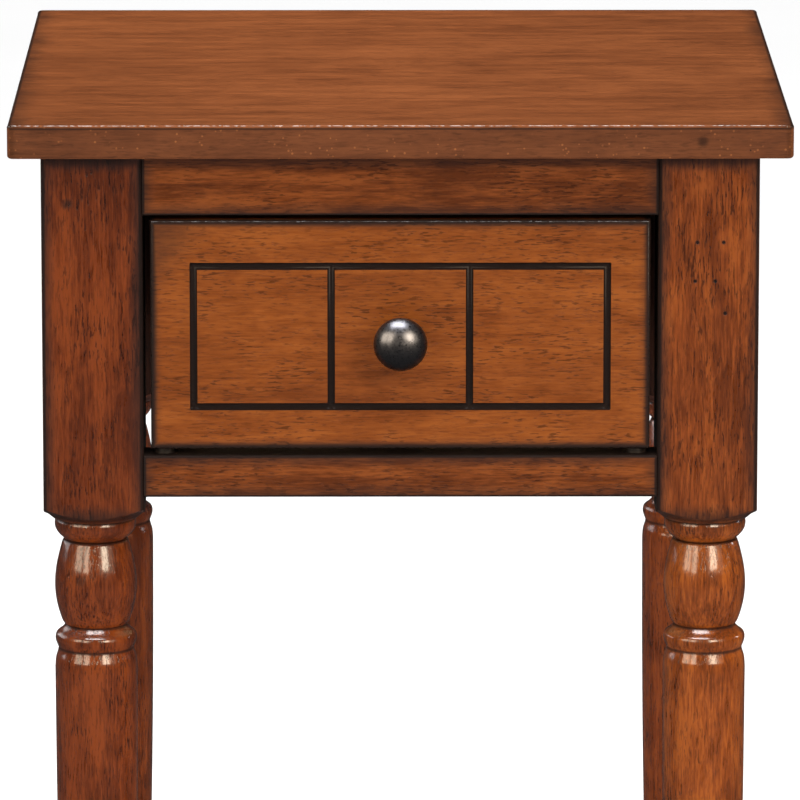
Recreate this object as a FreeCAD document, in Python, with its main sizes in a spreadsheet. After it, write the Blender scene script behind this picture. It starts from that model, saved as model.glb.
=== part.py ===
import FreeCAD, Part
import os
import Sketcher

# Square side table with one drawer on a centre guide, and four turned legs.
# Frame: +Z up, the drawer faces -Y, the origin lies on the floor under the centre of the top.
# Sizes are in millimetres. A "drop" is measured down from the upper face of the top.

SIZES = {
    "table_height": 635.0,
    "top_span": 406.0,
    "top_thick": 18.0,
    "top_corner": 3.0,
    "top_arris": 1.5,
    "post_reach": 186.5,
    "post_size": 52.6,
    "post_arris": 3.5,
    "pommel_corner_drop": 206.5,
    "pommel_face_drop": 211.6,
    "bead_radius": 21.4,
    "vase_radius": 21.5,
    "neck_radius": 15.9,
    "shaft_radius": 21.7,
    "shaft_end_radius": 15.4,
    "ring_radius": 18.2,
    "foot_radius": 16.4,
    "foot_tip_radius": 12.5,
    "glide_radius": 10.0,
    "glide_thick": 3.0,
    "nail_radius": 1.1,
    "nail_length": 17.0,
    "face_recess": 1.5,
    "rail_thick": 24.0,
    "upper_rail_drop": 50.5,
    "lower_rail_top_drop": 177.7,
    "apron_drop": 199.8,
    "apron_thick": 18.0,
    "apron_recess": 3.0,
    "rail_arris": 1.2,
    "tenon_thick": 10.0,
    "tenon_length": 20.0,
    "tenon_shoulder": 5.0,
    "glue_gap": 0.15,
    "cleat_size": 18.0,
    "cleat_half": 128.0,
    "screw_radius": 2.0,
    "screw_length": 30.0,
    "screw_head_radius": 4.0,
    "screw_head_height": 2.6,
    "screw_gap": 0.1,
    "runner_half": 10.0,
    "runner_top_drop": 177.0,
    "runner_height": 14.0,
    "runner_tongue": 8.0,
    "front_half": 130.0,
    "front_top_drop": 53.0,
    "front_bottom_drop": 174.0,
    "front_thick": 19.0,
    "front_arris": 1.6,
    "groove_width": 3.8,
    "groove_depth": 2.4,
    "groove_outer": 107.6,
    "groove_inner": 36.0,
    "groove_top_drop": 77.3,
    "groove_bottom_drop": 151.6,
    "side_outer": 129.0,
    "side_thick": 12.0,
    "side_top_drop": 74.0,
    "drawer_rear": 156.0,
    "housing_depth": 7.0,
    "bottom_thick": 5.0,
    "bottom_drop": 160.0,
    "bottom_groove": 5.0,
    "knob_drop": 115.3,
    "knob_radius": 14.0,
    "knob_projection": 25.0,
    "guide_length": 56.0,
    "guide_half": 22.0,
    "guide_plate": 4.0,
    "running_gap": 0.4,
    "pad_radius": 6.0,
    "brad_radius": 0.7,
    "brad_length": 24.0,
}

SHEET = "sizes"
V = FreeCAD.Vector
DOC = FreeCAD.newDocument("side_table")
LEGS = {
    "leg_front_left": (-1, -1),
    "leg_front_right": (1, -1),
    "leg_rear_left": (-1, 1),
    "leg_rear_right": (1, 1),
}


def fill_sheet():
    """Writes every driving size into the spreadsheet under its own name."""
    sheet = DOC.addObject("Spreadsheet::Sheet", SHEET)
    for row, (name, value) in enumerate(SIZES.items(), start=1):
        sheet.set(f"A{row}", name.replace("_", " "))
        sheet.set(f"B{row}", str(value))
        sheet.setAlias(f"B{row}", name)
    DOC.recompute()
    return sheet


sizes = fill_sheet()


def size(name):
    return float(getattr(sizes, name))


def ex(text):
    """Turns bare size names in a sum into references to the sheet."""
    words = text.replace("(", "( ").replace(")", " )").split()
    return " ".join(f"{SHEET}.{w}" if w in SIZES else w for w in words)


def value(text):
    """The number that a sum of size names comes to."""
    return float(sizes.evalExpression(ex(text)))


def height(drop):
    """The height above the floor of a point given by its drop below the top."""
    return f"table_height - ({drop})"


# Lines and points shared by several sub-components, as sums of sizes.
SCREW_Y = ("-60", "60")
SCREW_X = ("-60", "60")
RAIL_SCREW_X = ("-95", "95")
CLEAT_LINE = "post_reach - apron_recess - apron_thick - cleat_size / 2"
RAIL_LINE = "0 - post_reach + face_recess + rail_thick / 2"
SCREW_SEAT_DROP = "top_thick + cleat_size"
POST_INNER = "post_reach - post_size"
CLEAT_SCREWS = ("-100", "0", "100")
CLEAT_SCREW_HEIGHT = "table_height - top_thick - cleat_size / 2"
RUNNER_SCREWS = [("0 - 5.5", "table_height - runner_top_drop - runner_height / 2"),
                 ("5.5", "table_height - runner_top_drop - runner_height / 2")]
FRONT_FACE = "0 - (post_reach - face_recess)"
FRONT_BACK = "0 - (post_reach - face_recess - front_thick)"
SIDE_INNER = "side_outer - side_thick"
BRADS = [("drawer_rear - side_thick / 2", height(drop)) for drop in ("90", "115", "140")]
BOTTOM_BRADS = [("-80", "drawer_rear - side_thick / 2"), ("80", "drawer_rear - side_thick / 2")]
GUIDE_SCREWS = [("-13", height("148")), ("13", height("148"))]


def new_body(name):
    body = DOC.addObject("PartDesign::Body", name)
    body.Label = name
    return body


def place(body, x="0", y="0", z="0"):
    """Puts a body at a point given by sums of sizes."""
    body.Placement = FreeCAD.Placement(V(value(x), value(y), value(z)), FreeCAD.Rotation())
    for axis, text in (("x", x), ("y", y), ("z", z)):
        body.setExpression(f"Placement.Base.{axis}", f"1 mm * ({ex(text)})")


def new_sketch(body, name, plane, offset="0"):
    """A sketch on one of the body's own origin planes, moved along its normal."""
    sketch = body.newObject("Sketcher::SketchObject", name)
    base = [o for o in body.Origin.OriginFeatures if o.Role == plane][0]
    sketch.AttachmentSupport = [(base, "")]
    sketch.MapMode = "FlatFace"
    sketch.AttachmentOffset = FreeCAD.Placement(V(0, 0, value(offset)), FreeCAD.Rotation())
    sketch.setExpression("AttachmentOffset.Base.z", f"1 mm * ({ex(offset)})")
    return sketch


def pin(sketch, geo, point, axis, text):
    """Holds one point of a sketch at a distance from the sketch's origin."""
    kind = "DistanceX" if axis == "x" else "DistanceY"
    index = sketch.addConstraint(Sketcher.Constraint(kind, -1, 1, geo, point, value(text)))
    sketch.setExpression(f"Constraints[{index}]", f"1 mm * ({ex(text)})")


def rectangle(sketch, u0, u1, v0, v1):
    """Adds a rectangle whose four sides follow sums of sizes."""
    low = V(value(u0), value(v0), 0)
    high = V(value(u1), value(v1), 0)
    corners = [low, V(high.x, low.y, 0), high, V(low.x, high.y, 0)]
    first = sketch.GeometryCount
    for i in range(4):
        sketch.addGeometry(Part.LineSegment(corners[i], corners[(i + 1) % 4]))
    for i in range(4):
        sketch.addConstraint(Sketcher.Constraint("Coincident", first + i, 2, first + (i + 1) % 4, 1))
        sketch.addConstraint(Sketcher.Constraint("Vertical" if i % 2 else "Horizontal", first + i))
    pin(sketch, first, 1, "x", u0)
    pin(sketch, first, 1, "y", v0)
    pin(sketch, first + 1, 2, "x", u1)
    pin(sketch, first + 1, 2, "y", v1)


def circle(sketch, u, v, radius):
    geo = sketch.addGeometry(Part.Circle(V(value(u), value(v), 0), V(0, 0, 1), value(radius)))
    pin(sketch, geo, 3, "x", u)
    pin(sketch, geo, 3, "y", v)
    index = sketch.addConstraint(Sketcher.Constraint("Radius", geo, value(radius)))
    sketch.setExpression(f"Constraints[{index}]", f"1 mm * ({ex(radius)})")


def pad(body, sketch, length, reverse=False):
    feature = body.newObject("PartDesign::Pad", sketch.Name + "_pad")
    feature.Profile = sketch
    feature.Length = value(length)
    feature.setExpression("Length", f"1 mm * ({ex(length)})")
    feature.Reversed = reverse
    DOC.recompute()
    return feature


def pocket(body, sketch, length, reverse=False):
    """Cuts a sketch into a body, and makes sure that something was cut away."""
    before = body.Shape.Volume
    feature = body.newObject("PartDesign::Pocket", sketch.Name + "_cut")
    feature.Profile = sketch
    feature.Length = value(length)
    feature.setExpression("Length", f"1 mm * ({ex(length)})")
    feature.Reversed = reverse
    DOC.recompute()
    if not feature.Shape.Volume < before - 1e-6:
        raise RuntimeError(f"{feature.Name} cuts nothing")
    return feature


def dress(body, kind, edges, amount, name):
    """Rounds or chamfers the edges that are picked out of the body's tip."""
    tip = body.Tip
    names = [f"Edge{i}" for i, edge in enumerate(tip.Shape.Edges, start=1) if edges(edge)]
    if not names:
        raise RuntimeError(f"{name} finds no edge")
    feature = body.newObject(f"PartDesign::{kind}", name)
    feature.Base = (tip, names)
    attribute = "Radius" if kind == "Fillet" else "Size"
    setattr(feature, attribute, value(amount))
    feature.setExpression(attribute, f"1 mm * ({ex(amount)})")
    DOC.recompute()
    return feature


def runs_along(edge, axis):
    """True for a straight edge that lies along one axis."""
    if edge.Curve.TypeId != "Part::GeomLine":
        return False
    step = edge.Vertexes[-1].Point - edge.Vertexes[0].Point
    return abs(abs(getattr(step, axis)) - step.Length) < 1e-6


def box_body(name, x, y, z):
    """A board given by the low and high sums of its three sides."""
    body = new_body(name)
    sketch = new_sketch(body, name + "_outline", "XY_Plane", z[0])
    rectangle(sketch, x[0], x[1], y[0], y[1])
    pad(body, sketch, f"({z[1]}) - ({z[0]})")
    return body


def holes(body, name, plane, offset, centres, radius, depth, reverse=False):
    """Drills round holes at the listed centres, from one plane to a depth."""
    sketch = new_sketch(body, name, plane, offset)
    for u, v in centres:
        circle(sketch, u, v, radius)
    return pocket(body, sketch, depth, reverse)


def slot(body, name, plane, offset, sides, depth, reverse=False):
    """Cuts a rectangular recess, from one plane to a depth."""
    sketch = new_sketch(body, name, plane, offset)
    rectangle(sketch, *sides)
    return pocket(body, sketch, depth, reverse)


# ---------------------------------------------------------------- table top


def top_screw_points():
    """Plan positions of the screws that hold the top, as sums of sizes."""
    points = []
    for sign in ("", "0 - "):
        points += [(f"{sign}({CLEAT_LINE})", y) for y in SCREW_Y]
    points += [(x, CLEAT_LINE) for x in SCREW_X]
    points += [(x, RAIL_LINE) for x in RAIL_SCREW_X]
    return points


def table_top():
    half = "top_span / 2"
    under = height("top_thick")
    body = box_body("table_top", (f"0 - {half}", half), (f"0 - {half}", half), (under, "table_height"))
    dress(body, "Fillet", lambda e: runs_along(e, "z"), "top_corner", "top_corners")
    top, bottom = value("table_height"), value(under)

    def arris(edge):
        return abs(edge.BoundBox.ZMin - edge.BoundBox.ZMax) < 1e-6 and (
            abs(edge.BoundBox.ZMin - top) < 1e-6 or abs(edge.BoundBox.ZMin - bottom) < 1e-6)

    dress(body, "Fillet", arris, "top_arris", "top_arrises")
    depth = "screw_length - cleat_size + 1"
    holes(body, "top_pilot_holes", "XY_Plane", under, top_screw_points(),
          "screw_radius + screw_gap", depth, reverse=True)
    return body


# --------------------------------------------------------------------- legs

def curve(points):
    """A smooth line through points given as radius and drop."""
    spline = Part.BSplineCurve()
    spline.interpolate([V(r, size("table_height") - drop, 0) for r, drop in points])
    return spline


def turned_members():
    """The runs of the turning from the pommel down to the foot, as (radius, drop) points."""
    bead, vase, neck = size("bead_radius"), size("vase_radius"), size("neck_radius")
    shaft, shaft_end = size("shaft_radius"), size("shaft_end_radius")
    ring, foot, tip = size("ring_radius"), size("foot_radius"), size("foot_tip_radius")
    corner, face = size("pommel_corner_drop"), size("pommel_face_drop")
    floor = size("table_height") - size("glide_thick")
    return [
        [(37.0, corner - 0.9), (36.0, corner), (31.0, face - 2.4), (26.3, face), (24.2, face + 1.6),
         (22.3, face + 3.1), (20.8, face + 3.6)],
        [(20.8, face + 3.6), (bead - 0.1, face + 5.0), (bead, face + 6.8), (bead - 0.5, face + 9.2),
         (bead - 2.3, face + 12.0), (neck, face + 15.0)],
        [(neck, face + 15.0), (neck + 1.5, face + 16.2), (vase - 1.7, face + 25.2), (vase - 0.5,
                                                                                     face + 31.8),
         (vase, face + 38.2), (vase - 0.3, face + 44.6), (vase - 1.4, face + 51.0), (vase - 3.6,
                                                                                     face + 58.2),
         (neck + 0.2, face + 61.0)],
        [(neck + 0.2, face + 61.0), (bead - 3.4, face + 63.2), (bead - 0.8, face + 65.2),
         (bead, face + 67.5), (bead - 0.3, face + 70.0), (bead - 1.6, face + 73.4)],
        [(bead - 1.6, face + 73.4), (shaft - 1.5, face + 75.2), (shaft - 0.4, face + 79.1),
         (shaft, face + 83.9)],
        [(shaft, face + 83.9), (shaft - 0.4, face + 155.0), (shaft - 1.5, face + 228.0),
         (shaft - 3.4, face + 300.0), (shaft_end, face + 366.0)],
        [(shaft_end, face + 366.0), (ring - 1.0, face + 368.2), (ring, face + 372.0),
         (ring - 1.0, face + 375.8), (shaft_end - 1.0, face + 378.0)],
        [(shaft_end - 1.0, face + 378.0), (foot - 0.5, face + 383.0), (foot, face + 389.0),
         (foot - 1.4, face + 402.0), (tip, floor)],
    ]


def turning(body):
    """Turns the square blank below the pommel down to the leg's profile."""
    sketch = new_sketch(body, body.Name + "_profile", "XZ_Plane")
    members = turned_members()
    outside = 45.0
    first = V(members[0][0][0], size("table_height") - members[0][0][1], 0)
    last = V(members[-1][-1][0], size("table_height") - members[-1][-1][1], 0)
    high, low = V(outside, first.y, 0), V(outside, last.y, 0)
    for member in members:
        sketch.addGeometry(curve(member))
    for start, end in ((last, low), (low, high), (high, first)):
        sketch.addGeometry(Part.LineSegment(start, end))
    feature = body.newObject("PartDesign::Groove", body.Name + "_turning")
    feature.Profile = sketch
    feature.ReferenceAxis = (sketch, ["V_Axis"])
    feature.Angle = 360.0
    DOC.recompute()


def signed(sign, text):
    return f"({text})" if sign > 0 else f"0 - ({text})"


def span(sign, near, far):
    """Low and high sums of a stretch that runs from near to far on one side of the middle."""
    return (signed(sign, near), signed(sign, far)) if sign > 0 else (signed(sign, far), signed(sign, near))


def mortise(body, name, plane, side, across, low_drop, high_drop):
    """A blind mortise into the inner face of a post. The post's own axis is at the origin."""
    face = "post_size / 2"
    gap = "glue_gap"
    centre = signed(across, "post_size / 2 - " + ("apron_recess - apron_thick / 2" if "apron" in name
                                                  else "face_recess - rail_thick / 2"))
    low = f"({centre}) - tenon_thick / 2 - {gap}"
    high = f"({centre}) + tenon_thick / 2 + {gap}"
    bottom = f"{height(high_drop)} + tenon_shoulder - {gap}"
    top = f"{height(low_drop)} - tenon_shoulder + {gap}"
    normal = -1 if plane == "XZ_Plane" else 1
    offset = signed(side * normal, face)
    slot(body, name, plane, offset, (low, high, bottom, top), "tenon_length + 0.5",
         reverse=side * normal < 0)


def leg(name, side, end):
    """One leg. side is -1 at the left and 1 at the right, end is -1 at the front and 1 at the rear."""
    body = new_body(name)
    sketch = new_sketch(body, name + "_blank", "XY_Plane", "glide_thick")
    half = "post_size / 2"
    rectangle(sketch, f"0 - {half}", half, f"0 - {half}", half)
    pad(body, sketch, "table_height - top_thick - glide_thick")
    dress(body, "Fillet", lambda e: runs_along(e, "z"), "post_arris", name + "_arrises")
    turning(body)
    mortise(body, name + "_apron_mortise", "XZ_Plane", -end, side, "top_thick", "apron_drop")
    if end < 0:
        mortise(body, name + "_upper_mortise", "YZ_Plane", -side, end, "top_thick", "upper_rail_drop")
        mortise(body, name + "_lower_mortise", "YZ_Plane", -side, end, "lower_rail_top_drop", "apron_drop")
    else:
        mortise(body, name + "_back_apron_mortise", "YZ_Plane", -side, end, "top_thick", "apron_drop")
    holes(body, name + "_nail_hole", "XY_Plane", "glide_thick", [("0", "0")],
          "nail_radius + screw_gap", "nail_length - glide_thick / 2", reverse=True)
    place(body, signed(side, "post_reach - post_size / 2"), signed(end, "post_reach - post_size / 2"))
    return body


# --------------------------------------------------------- rails and aprons


def tenoned_board(name, along, face, thick, low_drop, high_drop):
    """A board between two posts with a tenon at each end. face is its outer face, thick runs inward."""
    inner, outer = (f"({face}) - {thick}", face)
    if face.startswith("0 -"):
        inner, outer = (face, f"({face}) + {thick}")
    across = (inner, outer)
    length = (f"0 - ({POST_INNER})", POST_INNER)
    sides = (length, across) if along == "x" else (across, length)
    body = box_body(name, sides[0], sides[1], (height(high_drop), height(low_drop)))
    dress(body, "Chamfer", lambda e: runs_along(e, along), "rail_arris / 2", name + "_arrises")
    middle = f"(({inner}) + ({outer})) / 2"
    band = (f"{middle} - tenon_thick / 2", f"{middle} + tenon_thick / 2")
    reach = (f"0 - ({POST_INNER}) - tenon_length", f"{POST_INNER} + tenon_length")
    sketch = new_sketch(body, name + "_tenons", "XY_Plane", f"{height(high_drop)} + tenon_shoulder")
    rectangle(sketch, *((reach + band) if along == "x" else (band + reach)))
    pad(body, sketch, f"({high_drop}) - ({low_drop}) - tenon_shoulder - tenon_shoulder")
    return body


def upper_front_rail():
    body = tenoned_board("upper_front_rail", "x", "0 - (post_reach - face_recess)", "rail_thick",
                         "top_thick", "upper_rail_drop")
    points = [(x, RAIL_LINE) for x in RAIL_SCREW_X]
    under = height("upper_rail_drop")
    holes(body, "rail_counterbores", "XY_Plane", under, points, "screw_head_radius + 0.5",
          "upper_rail_drop - top_thick - cleat_size", reverse=True)
    holes(body, "rail_clearance_holes", "XY_Plane", height(SCREW_SEAT_DROP), points,
          "screw_radius + screw_gap", "cleat_size", reverse=True)
    return body


def lower_front_rail():
    body = tenoned_board("lower_front_rail", "x", "0 - (post_reach - face_recess)", "rail_thick",
                         "lower_rail_top_drop", "apron_drop")
    rear = "post_reach - face_recess - rail_thick"
    middle = f"{height('runner_top_drop')} - runner_height / 2"
    slot(body, "runner_mortise", "XZ_Plane", rear,
         ("0 - 6.15", "6.15", f"{middle} - 4.15", f"{middle} + 4.15"), "runner_tongue + 0.5", reverse=True)
    return body


def aprons():
    outer = "post_reach - apron_recess"
    gap = "screw_radius + screw_gap"
    for name, side in (("side_apron_left", -1), ("side_apron_right", 1)):
        body = tenoned_board(name, "y", signed(side, outer), "apron_thick", "top_thick", "apron_drop")
        inner = signed(side, f"{outer} - apron_thick")
        holes(body, name + "_pilots", "YZ_Plane", inner, [(y, CLEAT_SCREW_HEIGHT) for y in CLEAT_SCREWS],
              gap, "screw_length - cleat_size + 1", reverse=side > 0)
    body = tenoned_board("back_apron", "x", outer, "apron_thick", "top_thick", "apron_drop")
    holes(body, "back_apron_pilots", "XZ_Plane", f"0 - ({outer} - apron_thick)",
          [(x, CLEAT_SCREW_HEIGHT) for x in CLEAT_SCREWS], gap, "screw_length - cleat_size + 1",
          reverse=False)
    holes(body, "runner_screw_holes", "XZ_Plane", f"0 - ({outer})", RUNNER_SCREWS, gap, "apron_thick",
          reverse=True)


def cleats():
    """The three strips along the aprons that the top is screwed down to."""
    inner = "post_reach - apron_recess - apron_thick"
    z = ("table_height - top_thick - cleat_size", height("top_thick"))
    along = ("0 - cleat_half", "cleat_half")
    gap = "screw_radius + screw_gap"
    for name, side in (("top_cleat_left", -1), ("top_cleat_right", 1)):
        body = box_body(name, span(side, f"{inner} - cleat_size", inner), along, z)
        holes(body, name + "_upright", "XY_Plane", z[0], [(signed(side, CLEAT_LINE), y) for y in SCREW_Y],
              gap, "cleat_size", reverse=True)
        holes(body, name + "_level", "YZ_Plane", signed(side, f"{inner} - cleat_size"),
              [(y, CLEAT_SCREW_HEIGHT) for y in CLEAT_SCREWS], gap, "cleat_size", reverse=side > 0)
    body = box_body("top_cleat_back", along, (f"{inner} - cleat_size", inner), z)
    holes(body, "back_cleat_upright", "XY_Plane", z[0], [(x, CLEAT_LINE) for x in SCREW_X],
          gap, "cleat_size", reverse=True)
    holes(body, "back_cleat_level", "XZ_Plane", f"0 - ({inner} - cleat_size)",
          [(x, CLEAT_SCREW_HEIGHT) for x in CLEAT_SCREWS], gap, "cleat_size", reverse=False)


def centre_runner():
    rail = "0 - (post_reach - face_recess - rail_thick)"
    rear = "post_reach - apron_recess - apron_thick"
    low = f"{height('runner_top_drop')} - runner_height"
    body = box_body("centre_runner", ("0 - runner_half", "runner_half"), (rail, rear),
                    (low, height("runner_top_drop")))
    dress(body, "Chamfer", lambda e: runs_along(e, "y"), "1", "runner_arrises")
    sketch = new_sketch(body, "runner_tongue_outline", "XZ_Plane", "post_reach - face_recess - rail_thick")
    rectangle(sketch, "0 - 6", "6", f"{low} + 3", f"{low} + 11")
    pad(body, sketch, "runner_tongue")
    holes(body, "runner_pilots", "XZ_Plane", f"0 - ({rear})", RUNNER_SCREWS, "screw_radius + screw_gap",
          "screw_length - apron_thick + 1", reverse=True)
    return body


# ------------------------------------------------------------------- drawer


def drawer_front():
    z = (height("front_bottom_drop"), height("front_top_drop"))
    body = box_body("drawer_front", ("0 - front_half", "front_half"), (FRONT_FACE, FRONT_BACK), z)
    face = value(FRONT_FACE)
    dress(body, "Fillet",
          lambda e: abs(e.BoundBox.YMin - face) < 1e-6 and abs(e.BoundBox.YMax - face) < 1e-6,
          "front_arris", "front_arrises")
    sketch = new_sketch(body, "groove_lines", "XZ_Plane", "post_reach - face_recess")
    wide = "groove_width / 2"
    low, high = height("groove_bottom_drop"), height("groove_top_drop")
    rectangle(sketch, f"0 - groove_outer - {wide}", f"groove_outer + {wide}", f"{low} - {wide}",
              f"{high} + {wide}")
    lines = ["0 - groove_outer", "0 - groove_inner", "groove_inner", "groove_outer"]
    for left, right in zip(lines, lines[1:]):
        rectangle(sketch, f"{left} + {wide}", f"{right} - {wide}", f"{low} + {wide}", f"{high} - {wide}")
    pocket(body, sketch, "groove_depth")
    for sign, name in ((-1, "left"), (1, "right")):
        sides = span(sign, f"{SIDE_INNER} - glue_gap", "side_outer + glue_gap")
        slot(body, f"front_housing_{name}", "XZ_Plane", "post_reach - face_recess - front_thick",
             sides + (z[0], height("side_top_drop") + " + glue_gap"), "housing_depth + glue_gap",
             reverse=True)
    slot(body, "front_bottom_groove", "XZ_Plane", "post_reach - face_recess - front_thick",
         (f"0 - ({SIDE_INNER})", SIDE_INNER, f"{height('bottom_drop')} - bottom_thick - glue_gap",
          height("bottom_drop") + " + glue_gap"), "bottom_groove + glue_gap", reverse=True)
    holes(body, "front_screw_hole", "XZ_Plane", "post_reach - face_recess", [("0", height("knob_drop"))],
          "screw_radius + 0.25", "front_thick")
    return body


def drawer_sides():
    y = (f"{FRONT_BACK} - housing_depth", "drawer_rear")
    z = (height("front_bottom_drop"), height("side_top_drop"))
    for name, side in (("drawer_side_left", -1), ("drawer_side_right", 1)):
        body = box_body(name, span(side, SIDE_INNER, "side_outer"), y, z)
        top = value(z[1])
        dress(body, "Fillet", lambda e: runs_along(e, "y") and abs(e.BoundBox.ZMin - top) < 1e-6,
              "2", name + "_rounding")
        slot(body, name + "_groove", "YZ_Plane", signed(side, SIDE_INNER),
             (y[0], y[1], f"{height('bottom_drop')} - bottom_thick - glue_gap",
              height("bottom_drop") + " + glue_gap"), "bottom_groove", reverse=side > 0)
        holes(body, name + "_brad_holes", "YZ_Plane", signed(side, "side_outer"), BRADS,
              "brad_radius + 0.05", "side_thick", reverse=side < 0)


def drawer_back():
    body = box_body("drawer_back", (f"0 - ({SIDE_INNER}) + 0.1", f"{SIDE_INNER} - 0.1"),
                    ("drawer_rear - side_thick", "drawer_rear"),
                    (height("bottom_drop") + " + 0.1", height("side_top_drop")))
    top = value(height("side_top_drop"))
    dress(body, "Fillet", lambda e: runs_along(e, "x") and abs(e.BoundBox.ZMin - top) < 1e-6,
          "2", "drawer_back_rounding")
    depth = "brad_length - side_thick"
    for side, name in ((-1, "left"), (1, "right")):
        holes(body, f"back_brad_holes_{name}", "YZ_Plane", signed(side, f"{SIDE_INNER} - 0.1"), BRADS,
              "brad_radius + 0.05", depth, reverse=side < 0)
    holes(body, "back_bottom_brad_holes", "XY_Plane", height("bottom_drop") + " + 0.1",
          BOTTOM_BRADS, "brad_radius + 0.05", "brad_length - bottom_thick", reverse=True)
    holes(body, "back_guide_holes", "XZ_Plane", "0 - drawer_rear", GUIDE_SCREWS,
          "screw_radius + screw_gap", "side_thick", reverse=True)
    return body


def drawer_bottom():
    reach = f"{SIDE_INNER} + bottom_groove - 0.3"
    body = box_body("drawer_bottom", (f"0 - ({reach})", reach),
                    (f"{FRONT_BACK} - bottom_groove + 0.3", "drawer_rear"),
                    (f"{height('bottom_drop')} - bottom_thick", height("bottom_drop")))
    holes(body, "bottom_brad_holes", "XY_Plane", f"{height('bottom_drop')} - bottom_thick", BOTTOM_BRADS,
          "brad_radius + 0.05", "bottom_thick", reverse=True)
    return body


def knob():
    """A turned metal knob: collar, neck and a domed head, revolved about its own axis."""
    body = new_body("knob")
    sketch = new_sketch(body, "knob_profile", "YZ_Plane")
    wide, deep = size("knob_radius"), size("knob_projection")
    bore = size("screw_radius") + size("screw_gap")
    hole = 12.0
    collar = [V(0, 8.5, 0), V(-1.6, 8.5, 0), V(-3.0, 7.2, 0)]
    neck = Part.BSplineCurve()
    neck.interpolate([V(-3.0, 7.2, 0), V(-6.5, 5.6, 0), V(-10.0, 6.4, 0), V(-14.2, 11.6, 0)])
    rim = Part.BSplineCurve()
    rim.interpolate([V(-14.2, 11.6, 0), V(-15.8, wide - 0.5, 0), V(-17.6, wide, 0), V(-19.6, wide - 0.9, 0),
                     V(-22.3, wide * 0.72, 0), V(-24.2, wide * 0.42, 0), V(-deep, 0, 0)])
    lines = [V(0, bore, 0)] + collar
    for start, end in zip(lines, lines[1:]):
        sketch.addGeometry(Part.LineSegment(start, end))
    sketch.addGeometry(neck)
    sketch.addGeometry(rim)
    inside = [V(-deep, 0, 0), V(-hole, 0, 0), V(-hole, bore, 0), V(0, bore, 0)]
    for start, end in zip(inside, inside[1:]):
        sketch.addGeometry(Part.LineSegment(start, end))
    feature = body.newObject("PartDesign::Revolution", "knob_turning")
    feature.Profile = sketch
    feature.ReferenceAxis = (sketch, ["H_Axis"])
    feature.Angle = 360.0
    DOC.recompute()
    place(body, "0", FRONT_FACE, height("knob_drop"))
    return body


def rear_guide():
    """The nylon guide at the drawer's back end that wraps the centre runner."""
    top = f"{height('bottom_drop')} - bottom_thick - running_gap"
    under = f"{height('runner_top_drop')} - runner_height - running_gap"
    rear = "drawer_rear + 0.2 + guide_plate"
    front = "drawer_rear - guide_length"
    body = box_body("rear_guide", ("0 - runner_half - running_gap - 4", "runner_half + running_gap + 4"),
                    (front, rear), (f"{under} - 3", top))
    slot(body, "guide_channel", "XZ_Plane", f"0 - ({rear})",
         ("0 - runner_half - running_gap", "runner_half + running_gap", under,
          f"{height('runner_top_drop')} + running_gap"), "guide_length + guide_plate + 0.2", reverse=True)
    slot(body, "guide_slit", "XZ_Plane", f"0 - ({rear})",
         ("-6", "6", f"{under} - 3.5", under), "guide_length + guide_plate + 0.2", reverse=True)
    sketch = new_sketch(body, "guide_plate_outline", "XZ_Plane", f"0 - ({rear})")
    rectangle(sketch, "0 - guide_half", "guide_half", f"{height('runner_top_drop')} + running_gap",
              height("138"))
    pad(body, sketch, "guide_plate", reverse=False)
    holes(body, "guide_screw_holes", "XZ_Plane", f"0 - ({rear})", GUIDE_SCREWS,
          "screw_radius + screw_gap", "guide_plate", reverse=True)
    return body


# ---------------------------------------------------- glides, pads, fasteners

def foot_glides():
    for name, (side, end) in LEGS.items():
        body = new_body(name.replace("leg", "foot_glide"))
        sketch = new_sketch(body, body.Name + "_disc", "XY_Plane")
        circle(sketch, "0", "0", "glide_radius")
        pad(body, sketch, "glide_thick")
        dress(body, "Fillet", lambda e: e.BoundBox.ZMax < 1e-6 and e.BoundBox.XLength > 1, "1.2",
              body.Name + "_rounding")
        holes(body, body.Name + "_socket", "XY_Plane", "glide_thick", [("0", "0")], "nail_radius + 0.05",
              "glide_thick / 2")
        place(body, signed(side, "post_reach - post_size / 2"), signed(end, "post_reach - post_size / 2"))


def cylinder(name, radius, length):
    shape = DOC.addObject("Part::Cylinder", name)
    shape.setExpression("Radius", f"1 mm * ({ex(radius)})")
    shape.setExpression("Height", f"1 mm * ({ex(length)})")
    return shape


def screw(name, length):
    """A pan-head screw that points along +Z, with the underside of its head at the origin."""
    shank = cylinder(name + "_shank", "screw_radius", length)
    head = cylinder(name + "_head", "screw_head_radius", "screw_head_height")
    head.setExpression("Placement.Base.z", f"1 mm * (0 - {SHEET}.screw_head_height)")
    crown = DOC.addObject("Part::Fillet", name + "_crown")
    crown.Base = head
    DOC.recompute()
    edges = [i for i, e in enumerate(head.Shape.Edges, start=1)
             if e.BoundBox.ZMax < -size("screw_head_height") + 0.01]
    crown.Edges = [(i, 1.2, 1.2) for i in edges]
    body = DOC.addObject("Part::MultiFuse", name + "_solid")
    body.Shapes = [crown, shank]
    slots = []
    for i, (wide, deep) in enumerate(((4.4, 1.0), (1.0, 4.4))):
        bar = DOC.addObject("Part::Box", f"{name}_cross_{i}")
        bar.Length, bar.Width, bar.Height = wide, deep, 1.4
        bar.Placement = FreeCAD.Placement(V(-wide / 2, -deep / 2, -size("screw_head_height") - 0.1),
                                          FreeCAD.Rotation())
        slots.append(bar)
    cross = DOC.addObject("Part::MultiFuse", name + "_cross")
    cross.Shapes = slots
    cut = DOC.addObject("Part::Cut", name)
    cut.Base, cut.Tool = body, cross
    DOC.recompute()
    return cut


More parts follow.
